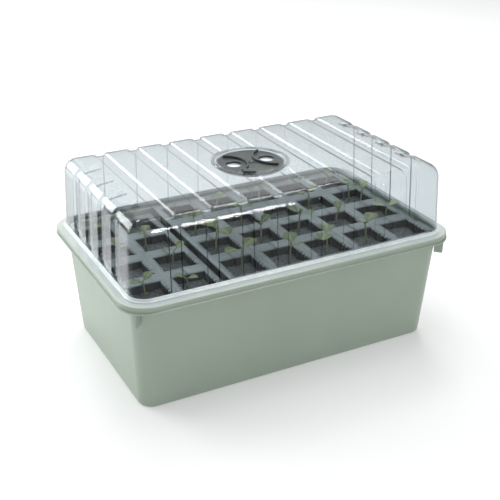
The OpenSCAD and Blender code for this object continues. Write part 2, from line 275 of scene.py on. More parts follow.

# %% [markdown]
# The vent disc is grey satin plastic. The cell books are thin dark sheet, shinier on
# the flanges, where crumbs of compost and dried water have dulled them in patches. The
# pieces carry their own depth below the flange, and the cell walls below it are painted
# nearly black, a painted shade for the dark inside the deep cells.

# %% Vent and book plastic
vent = Finish("vent_plastic")
vent_grain = vent.noise(1800, detail=2)
vent_cloud = vent.noise(70, detail=4)
VENT_PLASTIC = vent.done(vent.plastic(
    Base_Color=vent.blend(vent_cloud, (0.024, 0.034, 0.033, 1), (0.034, 0.045, 0.043, 1)),
    Roughness=0.34 + 0.14 * vent_cloud,
    Normal=vent.bump(vent_grain, 0.15, 0.00008)))

book = Finish("book_plastic")
film = book.noise(45, detail=6, roughness=0.65)
specks = book.noise(1100, detail=3, roughness=0.7)
patches = book.noise(120, detail=3)
soil = book.ramp(specks, 0.62, 0.70) * book.ramp(patches, 0.45, 0.62)
book_base = book.blend(
    book.ramp(film, 0.35, 0.7), (0.210, 0.241, 0.247, 1), (0.265, 0.298, 0.304, 1))
# Painted shade: below the flange the cell walls darken to nearly black.
book_painted_cell_shade = book.blend(
    book.ramp(book.carried("depth"), 0.002, 0.014), book_base, (0.012, 0.014, 0.015, 1))
BOOK_PLASTIC = book.done(book.plastic(
    Base_Color=book.blend(soil, book_painted_cell_shade, (0.024, 0.020, 0.016, 1)),
    Roughness=0.3 + 0.22 * film + 0.3 * soil,
    Normal=book.bump(specks, 0.2, 0.0002)))
print("made", VENT_PLASTIC.name, BOOK_PLASTIC.name)

# %% [markdown]
# Damp compost is dark grey, with paler fibres. Leaves are soft green with a paler
# middle; stems are paler still. Both leaves and stems let a little light through,
# which a little subsurface colour stands for.

# %% Compost, leaf and stem
compost = Finish("compost")
clods = compost.noise(420, detail=6, roughness=0.7)
fibres = compost.noise(1500, detail=4, roughness=0.75)
dark_soil = compost.blend(
    compost.ramp(clods, 0.3, 0.7), (0.058, 0.066, 0.067, 1), (0.205, 0.222, 0.222, 1))
COMPOST = compost.done(compost.plastic(
    Base_Color=compost.blend(compost.ramp(fibres, 0.66, 0.74), dark_soil, (0.21, 0.22, 0.21, 1)),
    Roughness=0.7 + 0.25 * clods,
    Normal=compost.bump(clods + 0.5 * fibres, 0.9, 0.0012),
    Specular_IOR_Level=0.35))


def leaf_finish(name, deep, pale, low, high):
    leaf = Finish(name)
    mottle = leaf.noise(260, detail=4)
    rib = leaf.carried("rib")
    blade = leaf.blend(leaf.ramp(mottle, 0.3, 0.7), deep, pale)
    return leaf.done(leaf.plastic(
        Base_Color=leaf.blend(0.65 * rib, blade, (0.30, 0.36, 0.17, 1)),
        Roughness=low + high * mottle,
        Normal=leaf.bump(mottle - 0.8 * rib, 0.35, 0.0003),
        Subsurface_Weight=0.15, Subsurface_Radius=(0.0006, 0.0012, 0.0003)))


LEAF = leaf_finish("leaf", (0.105, 0.145, 0.052, 1), (0.170, 0.220, 0.088, 1), 0.42, 0.2)
YOUNG_LEAF = leaf_finish("young_leaf", (0.25, 0.31, 0.16, 1), (0.36, 0.42, 0.25, 1), 0.4, 0.2)
STEM = leaf_finish("stem", (0.22, 0.26, 0.12, 1), (0.32, 0.36, 0.19, 1), 0.4, 0.2)
print("made", COMPOST.name, LEAF.name, YOUNG_LEAF.name, STEM.name)

# %% [markdown]
# Most pieces are lofts: a list of outlines, joined by quads. These helpers make the
# meshes. keep() sets the material and shading, puts the piece on its body and hides the
# CAD node that the piece stands for, so that every piece is finished in the same way.
# Pieces that are easier to write in millimetres are scaled to metres once they are made.

# %% Mesh helpers
def loft(rings, closed=True, cap_first=False, cap_last=False):
    """Vertices and faces of quads between rings of the same length."""
    count = len(rings[0])
    verts = [p for ring in rings for p in ring]
    faces = []
    for row in range(len(rings) - 1):
        for i in range(count if closed else count - 1):
            a, b = row * count + i, row * count + (i + 1) % count
            faces.append((a, b, b + count, a + count))
    if cap_first:
        faces.append(tuple(range(count - 1, -1, -1)))
    if cap_last:
        start = (len(rings) - 1) * count
        faces.append(tuple(range(start, start + count)))
    return verts, faces


def join(parts):
    """Several (vertices, faces) pairs as one."""
    verts, faces = [], []
    for part_verts, part_faces in parts:
        start = len(verts)
        verts += list(part_verts)
        faces += [tuple(start + i for i in face) for face in part_faces]
    return verts, faces


def grid_faces(cols, rows):
    """Quads of a grid of cols by rows faces, whose points are listed row by row."""
    side = cols + 1
    return [(r * side + c, r * side + c + 1, (r + 1) * side + c + 1, (r + 1) * side + c)
            for r in range(rows) for c in range(cols)]


def grid_edge(cols, rows):
    """The points round the edge of such a grid, anticlockwise from the first."""
    side = cols + 1
    return [*range(side), *(r * side + cols for r in range(1, rows + 1)),
            *(rows * side + c for c in range(cols - 1, -1, -1)),
            *(r * side for r in range(rows - 1, 0, -1))]


def clean(mesh, merge=0.0, recalc=False):
    """Joins points closer than merge and turns the faces outward."""
    edit = bmesh.new()
    edit.from_mesh(mesh)
    if merge:
        bmesh.ops.remove_doubles(edit, verts=edit.verts, dist=merge)
    if recalc:
        bmesh.ops.recalc_face_normals(edit, faces=edit.faces)
    edit.to_mesh(mesh)
    edit.free()


def mesh_from(name, verts, faces, merge=0.0, recalc=False):
    mesh = bpy.data.meshes.new(name)
    mesh.from_pydata([tuple(v) for v in verts], [], faces)
    if merge or recalc:
        clean(mesh, merge, recalc)
    return mesh


def carry(mesh, name, values):
    """Gives the points of a mesh a number each, which a material can read."""
    layer = mesh.attributes.new(name, "FLOAT", "POINT")
    layer.data.foreach_set("value", values)


def object_of(name, mesh):
    piece = bpy.data.objects.new(name, mesh)
    bpy.context.scene.collection.objects.link(piece)
    return piece


def keep(piece, body, material=None, stands_for=(), sharp=40):
    """Finishes a piece: material, smooth shading with sharp corners, and its body."""
    mesh = piece.data
    if material:
        mesh.materials.clear()
        mesh.materials.append(material)
    mesh.polygons.foreach_set("use_smooth", [True] * len(mesh.polygons))
    mesh.set_sharp_from_angle(angle=math.radians(sharp))
    mesh.update()
    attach(piece, body)
    if stands_for:
        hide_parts(*stands_for)
    return piece


def weigh_normals(piece):
    """Keeps large flat faces flat beside small rounded edges."""
    modifier = piece.modifiers.new("flat_faces", "WEIGHTED_NORMAL")
    modifier.keep_sharp = True
    modifier.weight = 100


def rounded_ring(half_l, half_w, radius, z, steps=14):
    """A rounded rectangle, anticlockwise from above, with steps faces in each corner."""
    points = []
    for quarter, (sx, sy) in enumerate([(1, 1), (-1, 1), (-1, -1), (1, -1)]):
        for i in range(steps + 1):
            a = math.radians(90 * (quarter + i / steps))
            points.append((
                sx * (half_l - radius) + radius * math.cos(a),
                sy * (half_w - radius) + radius * math.sin(a), z))
    return points


def fillet(path, steps=4):
    """Rounds the corners of a path. Each point is a tuple whose last number is its radius."""
    out = [path[0][:-1]]
    for before, here, after in zip(path, path[1:], path[2:]):
        p0, p1, p2 = (np.array(p[:-1], float) for p in (before, here, after))
        reach = [min(here[-1], 0.45 * np.linalg.norm(q - p1)) for q in (p0, p2)]
        start = p1 + (p0 - p1) / max(np.linalg.norm(p0 - p1), 1e-9) * reach[0]
        end = p1 + (p2 - p1) / max(np.linalg.norm(p2 - p1), 1e-9) * reach[1]
        if here[-1] <= 0:
            out.append(tuple(p1))
            continue
        for k in range(steps + 1):
            t = k / steps
            out.append(tuple((1 - t) ** 2 * start + 2 * t * (1 - t) * p1 + t ** 2 * end))
    out.append(path[-1][:-1])
    return out


def turned_rings(path, steps):
    """A path of (radius, z) turned about the Z axis, as rings for loft()."""
    return [[(r * math.cos(2 * math.pi * i / steps), r * math.sin(2 * math.pi * i / steps), z)
             for i in range(steps)] for r, z in path]


def smooth_step(t):
    t = np.clip(t, 0, 1)
    return t * t * (3 - 2 * t)


# %% [markdown]
# The tub is one moulding, so it is one loft. Its section runs out from the middle of
# the floor, up the leaning wall, out under the rim, down and round the skirt with its
# bead, over the rim's rounded shoulder, down into the seat for the dome, and back
# down the inside. Each point is half length, half width, corner radius, height and
# the rounding of that corner, all in millimetres.

# %% Tub
BEAD_OUT = 0.8                        # how far the skirt's bead stands out past the rim
WALL_IN = 11.2                        # from the rim's edge in to the top of the wall
RIM_L, RIM_W = TUB_HI.x / MM - BEAD_OUT, TUB_HI.y / MM - BEAD_OUT
RIM_H = RIM_Z / MM
TUB_SECTION = [
    (RIM_L - 24, RIM_W - 27.5, 10, 0, 0),
    (RIM_L - 18, RIM_W - 21.5, 16, 0, 3.5),
    (RIM_L - WALL_IN, RIM_W - WALL_IN, 18, RIM_H - 6.2, 1.2),
    (RIM_L - 8, RIM_W - 8, 21.2, RIM_H - 6.2, 1.2),
    (RIM_L - 8, RIM_W - 8, 21.2, RIM_H - 2.2, 1.0),
    (RIM_L - 2, RIM_W - 2, 27.2, RIM_H - 2.2, 0.6),
    (RIM_L - 2, RIM_W - 2, 27.2, RIM_H - 8, 0.15),
    (RIM_L + BEAD_OUT, RIM_W + BEAD_OUT, 30, RIM_H - 8, 0.3),
    (RIM_L + BEAD_OUT, RIM_W + BEAD_OUT, 30, RIM_H - 6.6, 0.5),
    (RIM_L - 0.9, RIM_W - 0.9, 28.3, RIM_H - 6.0, 0.2),
    (RIM_L - 0.9, RIM_W - 0.9, 28.3, RIM_H - 3.4, 0.2),
    (RIM_L, RIM_W, 29.2, RIM_H - 3.1, 0.2),
    (RIM_L, RIM_W, 29.2, RIM_H - 0.7, 0.9),
    (RIM_L - 1.8, RIM_W - 1.8, 27.4, RIM_H - 0.15, 0.6),
    (RIM_L - 10.2, RIM_W - 10.2, 19, RIM_H, 0.9),
    (RIM_L - 10.2, RIM_W - 10.2, 19, RIM_H - 4, 0.5),
    (RIM_L - 13.4, RIM_W - 13.4, 15.8, RIM_H - 4, 1.4),
    (RIM_L - 20.2, RIM_W - 23.7, 13.8, 2.2, 4),
    (RIM_L - 28, RIM_W - 31.5, 6, 2.2, 0),
]
tub_rings = [
    rounded_ring(p[0] * MM, p[1] * MM, p[2] * MM, p[3] * MM)
    for p in fillet(TUB_SECTION)]
tub_loft = loft(tub_rings, cap_first=True, cap_last=True)
tub = object_of("tub_shell", mesh_from("tub_shell", *tub_loft))
weigh_normals(tub)
keep(tub, "tub_body", SAGE_PLASTIC, ["tub"], sharp=60)
print("tub shell:", len(tub.data.polygons), "faces")

# %% [markdown]
# Four low ribs on the floor hold most of the books up, so that water drains away from
# their feet. They repeat at one spacing, which is what Geometry Nodes are for: a line
# of points, one rib on each, with the count, spacing and sizes as named inputs.

# %% Geometry Nodes helpers
class Tree:
    """A Geometry Nodes group with named inputs, made a plain mesh at the end."""

    def __init__(self, name):
        self.group = bpy.data.node_groups.new(name, "GeometryNodeTree")
        for way in ("INPUT", "OUTPUT"):
            self.group.interface.new_socket(
                "Geometry", in_out=way, socket_type="NodeSocketGeometry")
        self.keys = {}
        self.values = {}
        self.inside = None

    def value(self, name, kind, value):
        made = self.group.interface.new_socket(
            name, in_out="INPUT", socket_type="NodeSocket" + kind)
        self.keys[name] = made.identifier
        self.values[name] = value

    def start(self):
        self.inside = self.group.nodes.new("NodeGroupInput")

    def node(self, kind, settings=None, sockets=None):
        made = self.group.nodes.new(kind)
        for key, value in (settings or {}).items():
            setattr(made, key, value)
        for key, value in (sockets or {}).items():
            if isinstance(value, bpy.types.NodeSocket):
                self.group.links.new(value, made.inputs[key])
            else:
                made.inputs[key].default_value = value
        return made

    def given(self, name):
        return self.inside.outputs[name]

    def finish(self, geometry, material):
        whole = self.node("GeometryNodeRealizeInstances", None, {"Geometry": geometry})
        painted = self.node("GeometryNodeSetMaterial", None, {
            "Geometry": whole.outputs[0], "Material": material})
        end = self.group.nodes.new("NodeGroupOutput")
        self.group.links.new(painted.outputs[0], end.inputs[0])

    def plain(self, name, host, changes=None):
        """Runs the group on a host object and returns the result as a plain mesh object."""
        modifier = host.modifiers.new(self.group.name, "NODES")
        modifier.node_group = self.group
        for key, value in {**self.values, **(changes or {})}.items():
            modifier[self.keys[key]] = value
        evaluated = host.evaluated_get(bpy.context.evaluated_depsgraph_get())
        mesh = bpy.data.meshes.new_from_object(evaluated)
        host.modifiers.remove(modifier)
        return object_of(name, mesh)


# %% Floor ribs
CELLS = 4
BOOK_BOX = {i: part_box(f"book_{i}") for i in range(1, 8)}
BOOK_MID_Y = (BOOK_BOX[4][1].y + BOOK_BOX[4][0].y) / 2
CELL_PITCH = (BOOK_BOX[4][1].y - BOOK_BOX[4][0].y) / CELLS
rib_from = BOOK_BOX[3][0].x + 4 * MM
rib_to = (BOOK_BOX[7][0].x + BOOK_BOX[7][1].x) / 2 + 17.5 * MM
rib_top = BOOK_BOX[4][0].z - 0.2 * MM
rib_foot = 1.5 * MM                   # sunk into the floor, which is thicker than this

ribs = Tree("floor_ribs")
ribs.value("Ribs", "Int", CELLS)
ribs.value("Spacing", "Float", CELL_PITCH)
ribs.value("Length", "Float", rib_to - rib_from)
ribs.value("Height", "Float", rib_top - rib_foot)
ribs.value("Thickness", "Float", 3 * MM)
ribs.start()
rib_line = ribs.node("GeometryNodeMeshLine", None, {"Count": ribs.given("Ribs")})
rib_gap = ribs.node("ShaderNodeCombineXYZ", None, {"Y": ribs.given("Spacing")})
ribs.group.links.new(rib_gap.outputs[0], rib_line.inputs["Offset"])
rib_size = ribs.node("ShaderNodeCombineXYZ", None, {
    "X": ribs.given("Length"), "Y": ribs.given("Thickness"), "Z": ribs.given("Height")})
rib_bar = ribs.node("GeometryNodeMeshCube", None, {
    "Size": rib_size.outputs[0], "Vertices X": 12, "Vertices Y": 3, "Vertices Z": 4})
rib_place = ribs.node("GeometryNodeInstanceOnPoints", None, {
    "Points": rib_line.outputs[0], "Instance": rib_bar.outputs[0]})
ribs.finish(rib_place.outputs[0], SAGE_PLASTIC)
host = object_of("rib_host", bpy.data.meshes.new("rib_host"))
floor_ribs = ribs.plain("tub_floor_ribs", host)
bpy.data.meshes.remove(host.data)
floor_ribs.data.transform(Matrix.Translation((
    (rib_from + rib_to) / 2, BOOK_MID_Y - 1.5 * CELL_PITCH, (rib_top + rib_foot) / 2)))
rib_edge = floor_ribs.modifiers.new("rounded", "BEVEL")
rib_edge.width = 0.6 * MM
rib_edge.segments = 2
keep(floor_ribs, "tub_body", SAGE_PLASTIC, ["tub"])
print("floor ribs:", len(floor_ribs.data.polygons), "faces")

# %% [markdown]
# A small web stands under the rim at each front corner, on the diagonal, so that the
# rim doesn't fold when the full tub is lifted. It is a flat plate, thick at its top
# and thin at its foot, with its edges rounded by a bevel.

# %% Corner gussets
GUSSET_H = 19
GUSSET_IN = WALL_IN + 5.6             # from the rim's edge in to the web's root, inside the wall
GUSSET_TOP = RIM_H - 6.1
# The web's corners: how far out, half thickness, how far down.
GUSSET_PLATE = [(0, 2.5, 0), (10.2, 2.5, 0), (9.4, 1.0, GUSSET_H), (0, 1.0, GUSSET_H)]


def gusset(side):
    corner = Vector((side * (RIM_L - GUSSET_IN), -(RIM_W - GUSSET_IN), GUSSET_TOP)) * MM
    outward = Vector((side, -1, 0)).normalized()
    across = outward.cross(Vector((0, 0, 1)))
    points = []
    for reach, thick, drop in GUSSET_PLATE:
        for s in (-1, 1):
            points.append(corner + (outward * reach + across * thick * s - Vector((0, 0, drop))) * MM)
    faces = [(0, 2, 3, 1), (2, 4, 5, 3), (4, 6, 7, 5), (6, 0, 1, 7), (0, 6, 4, 2), (1, 3, 5, 7)]
    return points, faces


gussets = object_of("tub_gussets", mesh_from(
    "tub_gussets", *join([gusset(-1), gusset(1)]), recalc=True))
gusset_edge = gussets.modifiers.new("rounded", "BEVEL")
gusset_edge.width = 0.5 * MM
gusset_edge.segments = 3
weigh_normals(gussets)
keep(gussets, "tub_body", SAGE_PLASTIC, ["tub"])
print("gussets:", len(gussets.data.polygons), "faces before their edges are rounded")

# %% [markdown]
# The dome is a sheet that a pattern of grooves stiffens: eight cross the roof and run
# down both long walls, and four climb each end wall and fade out over its shoulder.
# The smooth form comes first, as a roof grid, four walls and four corners that share
# their edge points. Then each point is pushed in along its own normal by the depth
# of the groove there. Grid lines are crowded at the sides of the grooves, where the
# surface turns fast, so that the reflections there stay clean.

# %% Dome sizes
FOOT_L, FOOT_W = DOME_HI.x / MM, DOME_HI.y / MM
FOOT_H, ROOF_H = FOOT_Z / MM, ROOF_Z / MM
FOOT_R = 18.7
LEAN = 3.6 / (ROOF_H - FOOT_H)
MID_L, MID_W = FOOT_L - FOOT_R, FOOT_W - FOOT_R
lean_angle = math.atan(LEAN)
SHOULDER_R = (FOOT_R - LEAN * (ROOF_H - FOOT_H)) / (
    math.cos(lean_angle) - LEAN * (1 - math.sin(lean_angle)))
SHEET = 0.7
GROOVE_PITCH = 38.4
GROOVE_D = 2.3
GROOVE_HALF, END_GROOVE_HALF = 5.9, 7.5
GROOVES = [(k - 4.5) * GROOVE_PITCH for k in range(1, 9)]
END_GROOVES = [(k - 2.5) * GROOVE_PITCH for k in range(1, 5)]
END_GROOVE_FROM = 153.5               # where the end grooves begin on the roof
STEP_AT = [-4, -1.7, -1.25, -0.9, -0.6, -0.3, 0, 0.3, 0.6, 0.9, 1.25, 1.7, 4]


def crowded(middles, half, limit, gaps):
    """Grid places from -limit to limit, close together at each side of each groove."""
    places = {-limit, limit}
    for middle in middles:
        places.add(middle)
        for side in (-1, 1):
            places.update(round(middle + side * (half + s), 3) for s in STEP_AT)
    places = sorted(p for p in places if -limit <= p <= limit)
    filled = [places[0]]
    for place in places[1:]:
        extra = int((place - filled[-1]) / gaps)
        first = filled[-1]
        filled += [first + (place - first) * (k + 1) / (extra + 1) for k in range(extra)]
        filled.append(place)
    return filled


GRID_X = crowded(GROOVES, GROOVE_HALF, MID_L, 5.0)
GRID_Y = crowded(END_GROOVES, END_GROOVE_HALF, MID_W, 2.2)
print("dome grid", len(GRID_X), "by", len(GRID_Y), "shoulder radius", round(SHOULDER_R, 2))


# %% Dome surface
def from_edge(place, middles, half):
    """Distance from the edge of the nearest groove, negative inside it."""
    return min(abs(place - m) for m in middles) - half


def groove_depth(place, middles, half):
    return GROOVE_D * float(smooth_step((1.05 - from_edge(place, middles, half)) / 2.1))


def wall_path():
    """Places up a wall and over the shoulder: (distance out from the middle part, height, slope)."""
    shoulder_z = ROOF_H - SHOULDER_R
    top = shoulder_z + SHOULDER_R * math.sin(lean_angle)
    places = []
    for t in [0, 0.02, 0.1, 0.3, 0.5, 0.7, 0.9, 0.98]:
        z = FOOT_H + (top - FOOT_H) * t
        places.append((FOOT_R - LEAN * (z - FOOT_H), z, lean_angle))
    for k in range(15):
        a = lean_angle + (math.pi / 2 - lean_angle) * k / 14
        places.append((SHOULDER_R * math.cos(a), shoulder_z + SHOULDER_R * math.sin(a), a))
    return places


WALL_PATH = wall_path()
PAD_R = 43.2


def dome_point(x, y, out_x, out_y, out, z, slope, depth):
    """A point that lies out from (x, y) in the direction (out_x, out_y), pushed in by depth."""
    flat = out - depth * math.cos(slope)
    return (x + flat * out_x, y + flat * out_y, z - depth * math.sin(slope))


def roof_point(x, y):
    """A point of the roof. Its grooves stop at the flat pad round the vent."""
    off_pad = float(smooth_step((math.hypot(x, y) - PAD_R) / 2.5))
    at_end = float(smooth_step((abs(x) - END_GROOVE_FROM) / 3))
    return (x, y, ROOF_H - max(groove_depth(x, GROOVES, GROOVE_HALF) * off_pad,
                               groove_depth(y, END_GROOVES, END_GROOVE_HALF) * at_end))


def dome_wall(columns):
    """A wall or corner from its columns: (x, y, direction out along X and Y, groove depth)."""
    return loft([[dome_point(x, y, out_x, out_y, out, z, slope, depth)
                  for x, y, out_x, out_y, depth in columns]
                 for out, z, slope in WALL_PATH], closed=False)


def dome_parts():
    parts = [([roof_point(x, y) for y in GRID_Y for x in GRID_X],
              grid_faces(len(GRID_X) - 1, len(GRID_Y) - 1))]
    for side in (-1, 1):
        xs = GRID_X if side < 0 else GRID_X[::-1]
        ys = GRID_Y[::-1] if side < 0 else GRID_Y
        parts.append(dome_wall([
            (x, side * MID_W, 0, side, groove_depth(x, GROOVES, GROOVE_HALF)) for x in xs]))
        parts.append(dome_wall([
            (side * MID_L, y, side, 0, groove_depth(y, END_GROOVES, END_GROOVE_HALF)) for y in ys]))
    for quarter, (sx, sy) in enumerate([(1, 1), (-1, 1), (-1, -1), (1, -1)]):
        turns = [math.radians(90 * quarter + 9 * i) for i in range(11)]
        parts.append(dome_wall([
            (sx * MID_L, sy * MID_W, math.cos(a), math.sin(a), 0) for a in turns]))
    return join(parts)


# %% [markdown]
# The roof needs a round hole for the vent, in a square grid. The faces inside the
# circle go, and the points left on the edge of the gap slide onto the circle, which
# is quicker and cleaner than a boolean. The sheet then carries a painted shade on the
# steps at the sides of the walls' grooves, for the material, and Solidify gives it its thickness.

# %% Dome piece
HOLE_R = 38.2
NEAR_ROOF = 0.9 * ROOF_H
# The painted shade on the steps of the walls' grooves: how far it reaches, and its share at the back.
STEP_SHADE_REACH = 1.4                      # how far a step's dark tint reaches to each side
STEP_SHADE_AT_BACK = 0.2                    # its share on the back half of the dome


def cut_vent_hole(mesh):
    edit = bmesh.new()
    edit.from_mesh(mesh)
    inside = [f for f in edit.faces if f.calc_center_median().z > NEAR_ROOF
              and f.calc_center_median().xy.length < HOLE_R]
    bmesh.ops.delete(edit, geom=inside, context="FACES")
    for vert in edit.verts:
        if vert.is_boundary and vert.co.z > NEAR_ROOF:
            vert.co.xy = vert.co.xy.normalized() * HOLE_R
    edit.to_mesh(mesh)
    edit.free()


def wall_step_painted_shade(place):
    """The painted shade of a wall's groove steps: 1 on the step at the side of a groove in a wall, less
    at the back, 0 elsewhere.
    """
    if place.z > ROOF_H - 0.5 * SHOULDER_R:
        return 0.0
    if abs(place.y) > MID_W and abs(place.x) <= MID_L:
        off = from_edge(place.x, GROOVES, GROOVE_HALF)
    elif abs(place.x) > MID_L and abs(place.y) <= MID_W:
        off = from_edge(place.y, END_GROOVES, END_GROOVE_HALF)
    else:
        return 0.0
    return max(0.0, 1 - abs(off) / STEP_SHADE_REACH) * (1.0 if place.y < 0 else STEP_SHADE_AT_BACK)


dome_mesh = mesh_from("dome_shell", *dome_parts(), merge=0.02)
cut_vent_hole(dome_mesh)
# The mesh carries the painted shade of its wall grooves' steps.
carry(dome_mesh, "painted_step_shade", [wall_step_painted_shade(v.co) for v in dome_mesh.vertices])
dome_mesh.transform(Matrix.Scale(MM, 4))
dome = object_of("dome_shell", dome_mesh)
sheet = dome.modifiers.new("sheet", "SOLIDIFY")
sheet.thickness = SHEET * MM
sheet.offset = -1
keep(dome, "dome_body", CLEAR_PLASTIC, ["dome"], sharp=75)
print("dome shell:", len(dome.data.polygons), "faces before its thickness")

# %% [markdown]
# A lip runs round the dome just above the seat. It rests on the rim and stiffens the
# foot of the thin sheet. It is made cloudy and pale, a painted highlight for the
# brightness of a sheet seen edge-on.

# %% Dome foot lip
# Each point of its section: how far out from the foot, how far above the rim, rounding.
LIP_PATH = fillet([
    (-0.7, 0.1, 0), (3.0, 0.1, 0.2), (3.0, 0.9, 0.4), (1.0, 1.3, 0.5),
    (0.4, 3.4, 0.4), (-0.7, 3.4, 0.2), (-0.7, 0.1, 0)])
lip_rings = [
    rounded_ring((FOOT_L + out) * MM, (FOOT_W + out) * MM, (FOOT_R + out) * MM, (RIM_H + above) * MM)
    for out, above in LIP_PATH]
lip_mesh = mesh_from("dome_foot_lip", *loft(lip_rings), merge=1e-6, recalc=True)
foot_lip = object_of("dome_foot_lip", lip_mesh)
keep(foot_lip, "dome_body", FOOT_PAINTED_HIGHLIGHT_PLASTIC, ["dome"])
print("dome foot lip:", len(lip_mesh.polygons), "faces")

# %% [markdown]
# The vent has a clear well let into the roof and a grey disc that turns in it. Flat
# parts with holes are drawn as filled curves: the outline and the holes are separate
# splines of one curve, and its extrusion and bevel give thickness and soft edges.

# %% Flat plates with holes
def circle_points(radius, at=(0, 0), steps=64):
    return [(at[0] + radius * math.cos(2 * math.pi * i / steps),
             at[1] + radius * math.sin(2 * math.pi * i / steps)) for i in range(steps)]


def plate(name, outlines, z_low, z_high, edge):
    """A flat plate whose first outline is its edge and whose others are holes, in millimetres."""
    curve = bpy.data.curves.new(name, "CURVE")
    curve.dimensions = "2D"
    curve.fill_mode = "BOTH"
    for outline in outlines:
        spline = curve.splines.new("POLY")
        spline.points.add(len(outline) - 1)
        for point, (x, y) in zip(spline.points, outline):
            point.co = (x * MM, y * MM, 0, 1)
        spline.use_cyclic_u = True
    curve.extrude = (z_high - z_low) / 2 * MM - edge * MM
    curve.bevel_depth = edge * MM
    curve.bevel_resolution = 2
    curve.offset = -edge * MM
    flat = bpy.data.objects.new(name, curve)
    bpy.context.scene.collection.objects.link(flat)
    evaluated = flat.evaluated_get(bpy.context.evaluated_depsgraph_get())
    mesh = bpy.data.meshes.new_from_object(evaluated)
    bpy.data.objects.remove(flat)
    bpy.data.curves.remove(curve)
    clean(mesh, 1e-6, recalc=True)
    mesh.transform(Matrix.Translation((0, 0, (z_high + z_low) / 2 * MM)))
    return mesh


def merged(name, meshes):
    """One object from several meshes."""
    edit = bmesh.new()
    for mesh in meshes:
        edit.from_mesh(mesh)
        bpy.data.meshes.remove(mesh)
    whole = bpy.data.meshes.new(name)
    edit.to_mesh(whole)
    edit.free()
    return object_of(name, whole)


# %% Vent well
DISC_LO, DISC_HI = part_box("vent_disc")
DISC_R = DISC_HI.x / MM
DISC_BOTTOM = DISC_LO.z / MM
DISC_TOP = DISC_BOTTOM + 2.6
AIR_AT, AIR_R = 19.5, 8.6
WELL_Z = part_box("vent_base")[0].z / MM

well_path = fillet([
    (DISC_R + 0.6, WELL_Z + 0.2, 0), (DISC_R + 1.6, WELL_Z + 0.2, 0.3),
    (DISC_R + 1.6, ROOF_H + 0.05, 0.8), (DISC_R + 7, ROOF_H + 0.05, 0.1),
    (DISC_R + 7, ROOF_H + 0.6, 0.3), (DISC_R + 5.6, ROOF_H + 1.2, 0.5),
    (DISC_R + 4.4, ROOF_H + 0.7, 0.5), (DISC_R + 3.2, ROOF_H + 0.75, 0.5),
    (DISC_R + 2.2, ROOF_H + 1.25, 0.5), (DISC_R + 0.7, ROOF_H + 0.9, 0.5),
    (DISC_R + 0.6, WELL_Z + 0.2, 0)])
well_rings = turned_rings(well_path[:-1], 96)
well_ring = mesh_from("well_ring", *loft(well_rings + well_rings[:1]), recalc=True)
well_ring.transform(Matrix.Scale(MM, 4))
air_holes = [circle_points(AIR_R, (s * AIR_AT, 0), 48) for s in (-1, 1)]
well_floor = plate("well_floor", [circle_points(DISC_R + 0.7, steps=96), *air_holes],
                   WELL_Z + 0.1, WELL_Z + 1.5, 0.25)
well = merged("vent_well", [well_ring, well_floor])
keep(well, "dome_body", WELL_PLASTIC, ["vent_base"])
print("vent well:", len(well.data.polygons), "faces")

# %% Vent disc
PIN_HOLE_R = 2.6
FIN_R, FIN_AT, FIN_T = 26, 32, 1.8    # arc radius, where its middle is, thickness
FIN_SPREAD = 1.15                     # half the angle of the arc, in radians
FIN_TOP = DISC_TOP + 2.6
TAB_AT, TAB_HALF = math.radians(241), math.radians(10.5)
TAB_LOW, TAB_TOP = ROOF_H + 1.4, ROOF_H + 2.5
SUNK = DISC_TOP - 0.6                 # fins and tab start inside the disc


def fin_outline(side):
    """A bar along an arc that curves round one air hole."""
    outer = [(FIN_R + FIN_T / 2, a) for a in np.linspace(-FIN_SPREAD, FIN_SPREAD, 25)]
    inner = [(FIN_R - FIN_T / 2, a) for a in np.linspace(FIN_SPREAD, -FIN_SPREAD, 25)]
    return [(side * (FIN_AT - r * math.cos(a)), r * math.sin(a)) for r, a in outer + inner]


def tab_outline(inner_r, outer_r):
    """The finger tab's plan: a short bar that follows the disc's edge."""
    outer = [(outer_r, TAB_AT + a) for a in np.linspace(-TAB_HALF, TAB_HALF, 9)]
    inner = [(inner_r, TAB_AT - a) for a in np.linspace(-TAB_HALF, TAB_HALF, 9)]
    return [(r * math.cos(a), r * math.sin(a)) for r, a in outer + inner]


disc_outlines = [circle_points(DISC_R, steps=128), *air_holes, circle_points(PIN_HOLE_R, steps=24)]
disc_plate = plate("disc_plate", disc_outlines, DISC_BOTTOM, DISC_TOP, 0.4)
fins = [plate(f"fin_{s}", [fin_outline(s)], SUNK, FIN_TOP, 0.3) for s in (-1, 1)]
tab_root = plate("tab_root", [tab_outline(DISC_R - 4.2, DISC_R - 0.6)], SUNK, TAB_LOW + 0.5, 0.3)
tab_lip = plate("tab_lip", [tab_outline(DISC_R - 4.4, DISC_R + 3.5)], TAB_LOW, TAB_TOP, 0.4)
for name, meshes in [("vent_disc_plate", [disc_plate]), ("vent_grip_fins", fins),
                     ("vent_finger_tab", [tab_root, tab_lip])]:
    keep(merged(name, meshes), "vent_body", VENT_PLASTIC, ["vent_disc"])
print("vent disc: top at", round(DISC_TOP, 2), "mm")

# %% Vent pin
pin_path = fillet([
    (0.01, WELL_Z - 2, 0), (3.7, WELL_Z - 2, 0.5), (3.7, WELL_Z, 0.2), (2.45, WELL_Z, 0.1),
    (2.45, DISC_TOP + 0.1, 0.1), (4.4, DISC_TOP + 0.1, 0.2), (4.2, DISC_TOP + 0.9, 0.7),
    (2.2, DISC_TOP + 1.3, 0.6), (1.2, DISC_TOP + 1.3, 0.2), (0.9, DISC_TOP + 0.8, 0.2),
    (0.01, DISC_TOP + 0.8, 0)])
pin_loft = loft(turned_rings(pin_path, 40), cap_first=True, cap_last=True)
pin_mesh = mesh_from("vent_pin_rivet", *pin_loft, recalc=True)
pin_mesh.transform(Matrix.Scale(MM, 4))
keep(object_of("vent_pin_rivet", pin_mesh), "dome_body", VENT_PLASTIC, ["vent_pin"])
print("vent pin:", len(pin_mesh.polygons), "faces")

